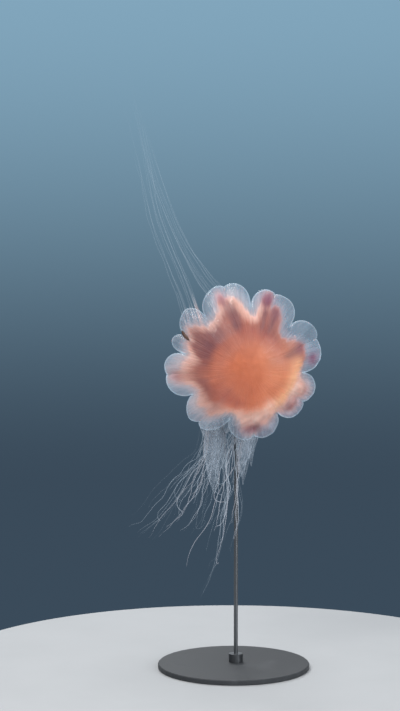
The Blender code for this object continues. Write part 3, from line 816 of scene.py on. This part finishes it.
def group_of(name, build, inputs, outputs):
    """A shader node group. An input of three numbers is a place, and one of four a colour."""
    tree = bpy.data.node_groups.new(name, "ShaderNodeTree")
    for key, value in inputs.items():
        kind = {3: "Vector", 4: "Color"}.get(np.size(value), "Float")
        socket = tree.interface.new_socket(key, in_out="INPUT", socket_type="NodeSocket" + kind)
        socket.default_value = value
    for key in outputs:
        kind = "Color" if key == "Color" else "Float"
        tree.interface.new_socket(key, in_out="OUTPUT", socket_type="NodeSocket" + kind)
    given = tree.nodes.new("NodeGroupInput")
    result = tree.nodes.new("NodeGroupOutput")
    for key, socket in zip(outputs, build(given.outputs)):
        tree.links.new(socket, result.inputs[key])
    return tree


def cloudy(given):
    """Soft clouds and fine specks in a tissue's colour."""
    clouds = between(noise(given["Place"], given["Cloud Scale"], 4.0, 0.6, 0.4), 0.3, 0.7)
    specks = times(cells(given["Place"], given["Speck Scale"], 0.12, 0.3), given["Specks"])
    tint = over(given["Dark"], (clouds, given["Light"]), (specks, (0.94, 0.9, 0.86)))
    return tint, clouds


def wet_grain(given):
    """Height of soft, wet tissue: low swells with a fine grain on them."""
    swells = noise(given["Place"], given["Swell Scale"], 2.0, 0.5)
    grain = noise(given["Place"], given["Grain Scale"], 3.0, 0.6)
    return (thicker(swells, (grain, given["Grain"])),)


CLOUDY_TISSUE = group_of("Cloudy tissue", cloudy, {
    "Place": (0, 0, 0), "Dark": (0.5, 0.5, 0.5, 1), "Light": (0.8, 0.8, 0.8, 1),
    "Cloud Scale": 40.0, "Speck Scale": 700.0, "Specks": 0.2,
}, ("Color", "Clouds"))
WET_GRAIN = group_of("Wet grain", wet_grain, {
    "Place": (0, 0, 0), "Swell Scale": 90.0, "Grain Scale": 900.0, "Grain": 0.3,
}, ("Height",))


WET_IOR = 1.36  # of all the tissues


class Finish:
    """A material under construction: its tree, its shader and the place on the object."""

    def __init__(self, name):
        self.material = bpy.data.materials.new(name)
        self.material.use_nodes = True
        self.tree = self.material.node_tree
        self.shader = self.tree.nodes["Principled BSDF"]
        self.place = put(self.tree, "TexCoord").outputs["Object"]

    def mask(self, name, output="Fac"):
        """What is painted on the mesh under this name."""
        return put(self.tree, "Attribute", attribute_name=name).outputs[output]

    def group(self, group, *values):
        """The outputs of a shader group with these values for its inputs, after the place."""
        made = put(self.tree, "Group", node_tree=group)
        for socket, value in zip(made.inputs, (self.place, *values)):
            feed(socket, value)
        return list(made.outputs)

    def tissue(self, dark, light, *values):
        """Cloudy tissue in two tones: its colour and its clouds."""
        return self.group(CLOUDY_TISSUE, (*dark, 1), (*light, 1), *values)

    def grain(self, *values):
        """The height of wet grain."""
        return self.group(WET_GRAIN, *values)[0]

    def made(self, height, distance, strength=1, **values):
        """The material, bumped by a height. The shader's sockets are named with _ for each space."""
        sockets = {"Height": height, "Distance": distance, "Strength": strength}
        values["normal"] = put(self.tree, "Bump", sockets).outputs["Normal"]
        for key, value in values.items():
            key = key.replace("_", " ").title().replace("Ior", "IOR")
            feed(self.shader.inputs[key], value)
        return self.material


def clear_jelly():
    """The outside of the bell: clear and wet, milkier in the brim, with painted light on parts of the brim
    and along its pale edge.
    """
    finish = Finish("clear_jelly")
    tint, clouds = finish.tissue((0.36, 0.46, 0.57), (0.48, 0.58, 0.69), 26, 620, 0.1)
    brim, edge_light, rays = finish.mask("brim"), finish.mask("edge_light"), finish.mask("rays", "Vector")
    streaks = times(between(drawn_out(rays, (26, 26, 3), 3.0, 0.6), 0.42, 0.66), brim)
    colour = over(
        tint,
        (between(finish.mask("inside"), -0.06, 0.08, 0, 0.8), (0.56, 0.28, 0.2)),
        # brown along the prongs, and painted shade on the star's upper side, seen through the jelly
        (times(finish.mask("brown_and_shade"), 0.85), (0.2, 0.095, 0.1)),
        (times(finish.mask("red"), 0.9), (0.2, 0.08, 0.13)),
        # painted light along the edge
        (times(edge_light, 0.7), (0.6, 0.71, 0.82)),
    )
    film = thicker(
        between(brim, 0, 1, 0.07, 0.11),
        # more film where the brim has painted light, and along its pale edge of painted light
        (times(brim, finish.mask("milk_and_light")), 0.12), (streaks, 0.06), (clouds, 0.05), (edge_light, 0.16),
    )
    warts = times(cells(finish.place, 330, 0, 0.38), between(brim, 0, 0.5, 0.35, 0))
    height = thicker(finish.grain(46, 420, 0.22), (warts, 1), (streaks, 0.4))
    return finish.made(
        height, 0.0006, 0.7, base_color=colour, alpha=film, ior=WET_IOR, specular_ior_level=0.6,
        roughness=between(clouds, 0, 1, 0.22, 0.34), coat_weight=0.6, coat_roughness=0.1,
    )


def star_tissue():
    """The inside of the bell, which carries the coloured star."""
    finish = Finish("star_tissue")
    tint = finish.tissue((0.5, 0.12, 0.045), (0.66, 0.185, 0.08), 30, 520, 0.06)[0]
    rays = finish.mask("rays", "Vector")
    share = put(finish.tree, "SeparateXYZ", {"Vector": rays}).outputs["Z"]
    streaks = between(drawn_out(rays, (15, 15, 2.2), 4.0, 0.6), 0.38, 0.66)
    fine = between(drawn_out(rays, (60, 60, 4), 2.0, 0.5), 0.4, 0.62)
    ragged = between(drawn_out(rays, (22, 22, 9), 4.0, 0.65), 0.3, 0.7, -0.014, 0.014)
    inside = sums("ADD", finish.mask("inside"), ragged)
    # how far in from the star's edge, in parts of the edge's own width there
    inward = sums("DIVIDE", inside, finish.mask("wide"))
    star = between(inside, -0.045, 0.03)

    def painted(name, streaky, amount):
        """A painted mask, broken up by the streaks."""
        broken = between(streaks, 0, 1, amount * (1 - streaky), amount)
        return times(finish.mask(name), broken)

    # the brim's milk carries painted light, and the pale edge is painted light too
    red, milk_and_light, edge_light = painted("red", 0.15, 1), finish.mask("milk_and_light"), finish.mask("edge_light")
    rim = times(between(inward, 0.085, 0.005), finish.mask("rimmed"))
    rim = times(rim, between(finish.mask("red"), 0.1, 0.6, 0.92, 0))
    blush = times(between(inward, -0.12, -0.01), finish.mask("blushed"))
    star_colour = over(
        tint,
        # painted shade: the middle of the star darker red towards the bottom
        (painted("shade_below", 0, 0.8), (0.46, 0.105, 0.04)),
        (between(share, 0.52, 0.68, 0, 0.75), (0.47, 0.19, 0.14)),
        # painted light: the middle of the star brighter orange on its right
        (painted("lit_side", 0.2, 0.85), (0.76, 0.27, 0.125)),
        (painted("shaded", 0.15, 0.55), (0.27, 0.095, 0.09)),
        (painted("rust", 0.25, 0.8), (0.34, 0.075, 0.06)),
        # painted light: a bright patch on the star's lower right
        (painted("painted_light", 0.25, 1), (1, 0.52, 0.27)),
        # brown along the prongs, and painted shade on the star's upper side
        (painted("brown_and_shade", 0.12, 0.92), (0.155, 0.056, 0.066)),
        # pale pink: partly the tissue's own colour, partly painted light on the lower right
        (painted("pink_and_light", 0.15, 0.9), (1, 0.66, 0.55)),
        (rim, (0.78, 0.45, 0.36)),
        (between(share, 0.8, 0.93, 0, 0.6), (0.58, 0.44, 0.5)),
        (red, (0.24, 0.08, 0.13)),
    )
    brim_colour = over(
        (0.31, 0.4, 0.51),
        (fine, (0.42, 0.51, 0.62)),
        # painted light: a paler brim where it is lit
        (milk_and_light, (0.52, 0.52, 0.58)),
        (painted("lilac", 0.3, 0.75), (0.5, 0.38, 0.46)),
        (times(blush, 0.9), (0.64, 0.47, 0.45)),
        (red, (0.22, 0.08, 0.14)),
        # painted light along the edge
        (edge_light, (0.56, 0.67, 0.78)),
    )
    clear = sums("MULTIPLY_ADD", star, -1, 1)
    # the brim's film, thicker with blush, painted light, red spots, streaks and lilac
    in_brim = ((blush, 0.5), (milk_and_light, 0.28), (red, 0.88), (fine, 0.08), (finish.mask("lilac"), 0.18))
    film = between(star, 0, 1, 0.12, 0.98)
    film = thicker(film, *((times(where, clear), amount) for where, amount in in_brim))
    # more film along the edge's painted light
    film = put(finish.tree, "Clamp", {"Value": thicker(film, (edge_light, 0.14))}).outputs[0]
    streak_height = times(streaks, between(share, 0.12, 0.4))
    return finish.made(
        thicker(finish.grain(80, 500, 0.3), (streak_height, 0.6)), 0.0008, 0.8,
        base_color=over(brim_colour, (star, star_colour)), alpha=film, ior=WET_IOR,
        roughness=between(streaks, 0, 1, 0.4, 0.52),
        subsurface_weight=0.25, subsurface_radius=(0.012, 0.005, 0.004), subsurface_scale=1,
    )


def club_tissue():
    """The sense organs: dark brown where they are large, and pale where small."""
    finish = Finish("club_tissue")
    dark = finish.tissue((0.05, 0.026, 0.02), (0.11, 0.06, 0.042), 300, 1500, 0.1)[0]
    colour = over((0.42, 0.36, 0.36), (finish.mask("shade"), dark))
    return finish.made(finish.grain(400, 1500, 0.4), 0.0003, base_color=colour, roughness=0.35, ior=WET_IOR)


def folded_tissue(name, dark, light, crease_shade):
    """Opaque folded tissue, such as the gonads and the mouth, with painted shade in the gonads' creases and
    darker towards the mouth's lower end.
    """
    finish = Finish(name)
    tint, clouds = finish.tissue(dark, light, 70, 900, 0.18)
    return finish.made(
        finish.grain(220, 1100, 0.3), 0.0006, ior=WET_IOR, coat_weight=0.3, coat_roughness=0.15,
        # painted shade where along is low: in the gonads' creases, and on the mouth darker towards its lower
        # end
        base_color=over(tint, (between(finish.mask("along"), 0.45, 0.05), crease_shade)),
        roughness=between(clouds, 0, 1, 0.3, 0.45),
        subsurface_weight=0.2, subsurface_radius=(0.006, 0.003, 0.002), subsurface_scale=1,
    )


def curtain_tissue():
    """The oral arms: pink where they grow, clear in the sheet, milky along the ruffled edge."""
    finish = Finish("curtain_tissue")
    tint, clouds = finish.tissue((0.36, 0.43, 0.51), (0.52, 0.59, 0.67), 90, 900, 0.25)
    lace, along = finish.mask("lace"), finish.mask("along")
    root = between(along, 0.02, 0.4, 1, 0)
    rib = times(between(lace, 0.05, 0.4, 1, 0), between(along, 0.2, 0.7, 1, 0))
    edge = between(lace, 0.86, 1)
    colour = over(
        tint, (times(root, 0.7), (0.6, 0.31, 0.23)), (times(rib, 0.4), (0.54, 0.33, 0.28)),
        (edge, (0.6, 0.68, 0.77)),
    )
    film = thicker(between(clouds, 0, 1, 0.16, 0.36), (rib, 0.25), (edge, 0.3), (root, 0.3))
    film = times(film, between(along, 0.7, 1, 1, 0.3))
    film = put(finish.tree, "Clamp", {"Value": film}).outputs[0]
    return finish.made(
        finish.grain(300, 1200, 0.3), 0.0004, base_color=colour, alpha=film, roughness=0.32, ior=WET_IOR,
    )


def tentacle_tissue():
    """The tentacles: flesh pink where they grow, then milky blue-white with beads of stinging cells."""
    finish = Finish("tentacle_tissue")
    tint, clouds = finish.tissue((0.34, 0.42, 0.5), (0.52, 0.6, 0.68), 60, 1400, 0.25)
    along, shade = finish.mask("along"), finish.mask("shade")
    root = between(along, 0.03, 0.22, 1, 0)
    pinker = between(shade, 0.55, 0.95, 0, 0.3)
    film = times(between(shade, 0, 1, 0.05, 0.85), between(along, 0.4, 1, 1, 0.35))
    return finish.made(
        finish.grain(700, 2400, 0.4), 0.0003, ior=WET_IOR,
        base_color=over(tint, (pinker, (0.48, 0.36, 0.36)), (root, (0.6, 0.32, 0.26))),
        alpha=sums("MAXIMUM", film, root), roughness=between(clouds, 0, 1, 0.3, 0.42),
    )


def stand_paint():
    """Satin charcoal paint with a faint orange peel and a few rubbed places."""
    finish = Finish("stand_paint")
    worn = between(noise(finish.place, 22.0, 5.0, 0.65), 0.52, 0.72)
    return finish.made(
        finish.grain(420, 2000, 0.25), 0.0001, 0.6, specular_ior_level=0.3,
        base_color=over((0.03, 0.033, 0.037), (worn, (0.05, 0.054, 0.059))),
        roughness=between(worn, 0, 1, 0.54, 0.64),
    )


def stand_steel():
    """Blackened steel, brushed along the rod."""
    finish = Finish("stand_steel")
    brushed = drawn_out(finish.place, (2400, 2400, 30), 3.0, 0.6)
    return finish.made(
        finish.grain(120, 1800, 0.2), 0.00005, 0.5, metallic=1,
        base_color=over((0.105, 0.112, 0.12), (brushed, (0.17, 0.178, 0.188))),
        roughness=between(brushed, 0.3, 0.7, 0.3, 0.46),
    )


# The studio

FLOOR_RADIUS, FLOOR_DEPTH = 0.6, 0.02
# Each light, from the middle of the bell: name, place, width, power and colour.
LIGHTS = (
    ("key", (-1.3, -2.2, 2.0), 1.6, 76, (1, 0.985, 0.96)),
    ("fill", (1.9, -2.3, 0.5), 2.0, 58, (0.94, 0.97, 1)),
    ("back", (-0.6, 2.2, 1.6), 1.4, 44, (0.95, 0.98, 1)),
    ("top", (0.2, 0.1, 2.4), 1.6, 34, (1, 1, 1)),
)


def studio(centre):
    """A pale round floor, a plain dim blue-grey surround, and four soft lights round the bell."""
    bpy.ops.mesh.primitive_cylinder_add(
        vertices=128, radius=FLOOR_RADIUS, depth=FLOOR_DEPTH, location=(0, 0, -FLOOR_DEPTH / 2 - 0.0001),
    )
    floor = bpy.context.object
    floor.name = "floor"
    finish = Finish("floor_paper")
    mottle = noise(finish.place, 6.0, 4.0, 0.6)
    paper = over((0.36, 0.37, 0.38), (mottle, (0.4, 0.41, 0.42)))
    feed(finish.shader.inputs["Base Color"], paper)
    feed(finish.shader.inputs["Roughness"], 0.85)
    floor.data.materials.append(finish.material)
    floor.data.shade_smooth()
    floor.data.set_sharp_from_angle(angle=radians(40))

    for name, place, size, power, colour in LIGHTS:
        light = bpy.data.lights.new(name, "AREA")
        light.shape, light.size, light.energy, light.color = "DISK", size, power, colour
        made = placed(name, light)
        made.location = centre + Vector(place)
        made.rotation_euler = (-Vector(place)).to_track_quat("-Z", "Y").to_euler()
        made.visible_camera = False

    world = bpy.data.worlds.new("surround")
    scene.world = world
    world.use_nodes = True
    tree = world.node_tree
    seen = tree.nodes["Background"]
    direction = put(tree, "SeparateXYZ", {"Vector": put(tree, "TexCoord").outputs["Generated"]})
    height = between(direction.outputs["Z"], -0.15, 0.1)
    feed(seen.inputs["Color"], over((0.043, 0.07, 0.102), (height, (0.225, 0.385, 0.51))))
    lit = put(tree, "Background", {"Color": (0.86, 0.92, 1, 1), "Strength": 0.4})
    camera_ray = put(tree, "LightPath").outputs["Is Camera Ray"]
    both = put(tree, "MixShader", {0: camera_ray, 1: lit.outputs[0], 2: seen.outputs[0]})
    feed(tree.nodes["World Output"].inputs["Surface"], both.outputs[0])


def camera(centre):
    """A long lens, 4 m away and 5 degrees above, with the bell right of the middle and a little low."""
    distance, look_down = 4.0, radians(5)
    high = 711
    per_part = 0.0019  # metres at the bell for each 1/711 of the frame's height
    left, raised = 44.5, 8.0  # from the bell to the middle of the frame, in the same parts
    look = Vector((0, cos(look_down), -sin(look_down)))
    up = Vector((0, sin(look_down), cos(look_down)))
    data = bpy.data.cameras.new("camera")
    data.sensor_width = 36.0
    data.lens = data.sensor_width * distance / (high * per_part)
    made = placed("camera", data)
    made.location = centre - Vector((left * per_part, 0, 0)) + up * raised * per_part - look * distance
    made.rotation_euler = look.to_track_quat("-Z", "Y").to_euler()
    scene.camera = made


def main():
    bell_skin([clear_jelly(), star_tissue()])
    sense_organs(club_tissue())
    # the last colour of each folded tissue is its crease colour: painted shade in the gonads' creases, and on
    # the mouth darker towards its lower end
    mouth_stalk(folded_tissue("mouth_tissue", (0.44, 0.17, 0.11), (0.66, 0.36, 0.27), (0.25, 0.08, 0.07)))
    sacs = folded_tissue("gonad_tissue", (0.55, 0.31, 0.26), (0.74, 0.51, 0.42), (0.32, 0.11, 0.1))
    curtains, strands = curtain_tissue(), tentacle_tissue()
    for number in range(4):
        gonad_folds(number, sacs)
        oral_arm_curtain(number, curtains)
    for number in range(LOBES):
        tentacles(number, strands)
    paint, steel = stand_paint(), stand_steel()
    for node, material in (("base", paint), ("collar", steel), ("rod", steel), ("plate", steel)):
        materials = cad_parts["stand_" + node].data.materials
        materials.clear()
        materials.append(material)
    studio(Vector(BELL_CENTRE))
    camera(Vector(BELL_CENTRE))
    scene.view_settings.view_transform = "Standard"
    scene.cycles.transparent_max_bounces = 32


main()
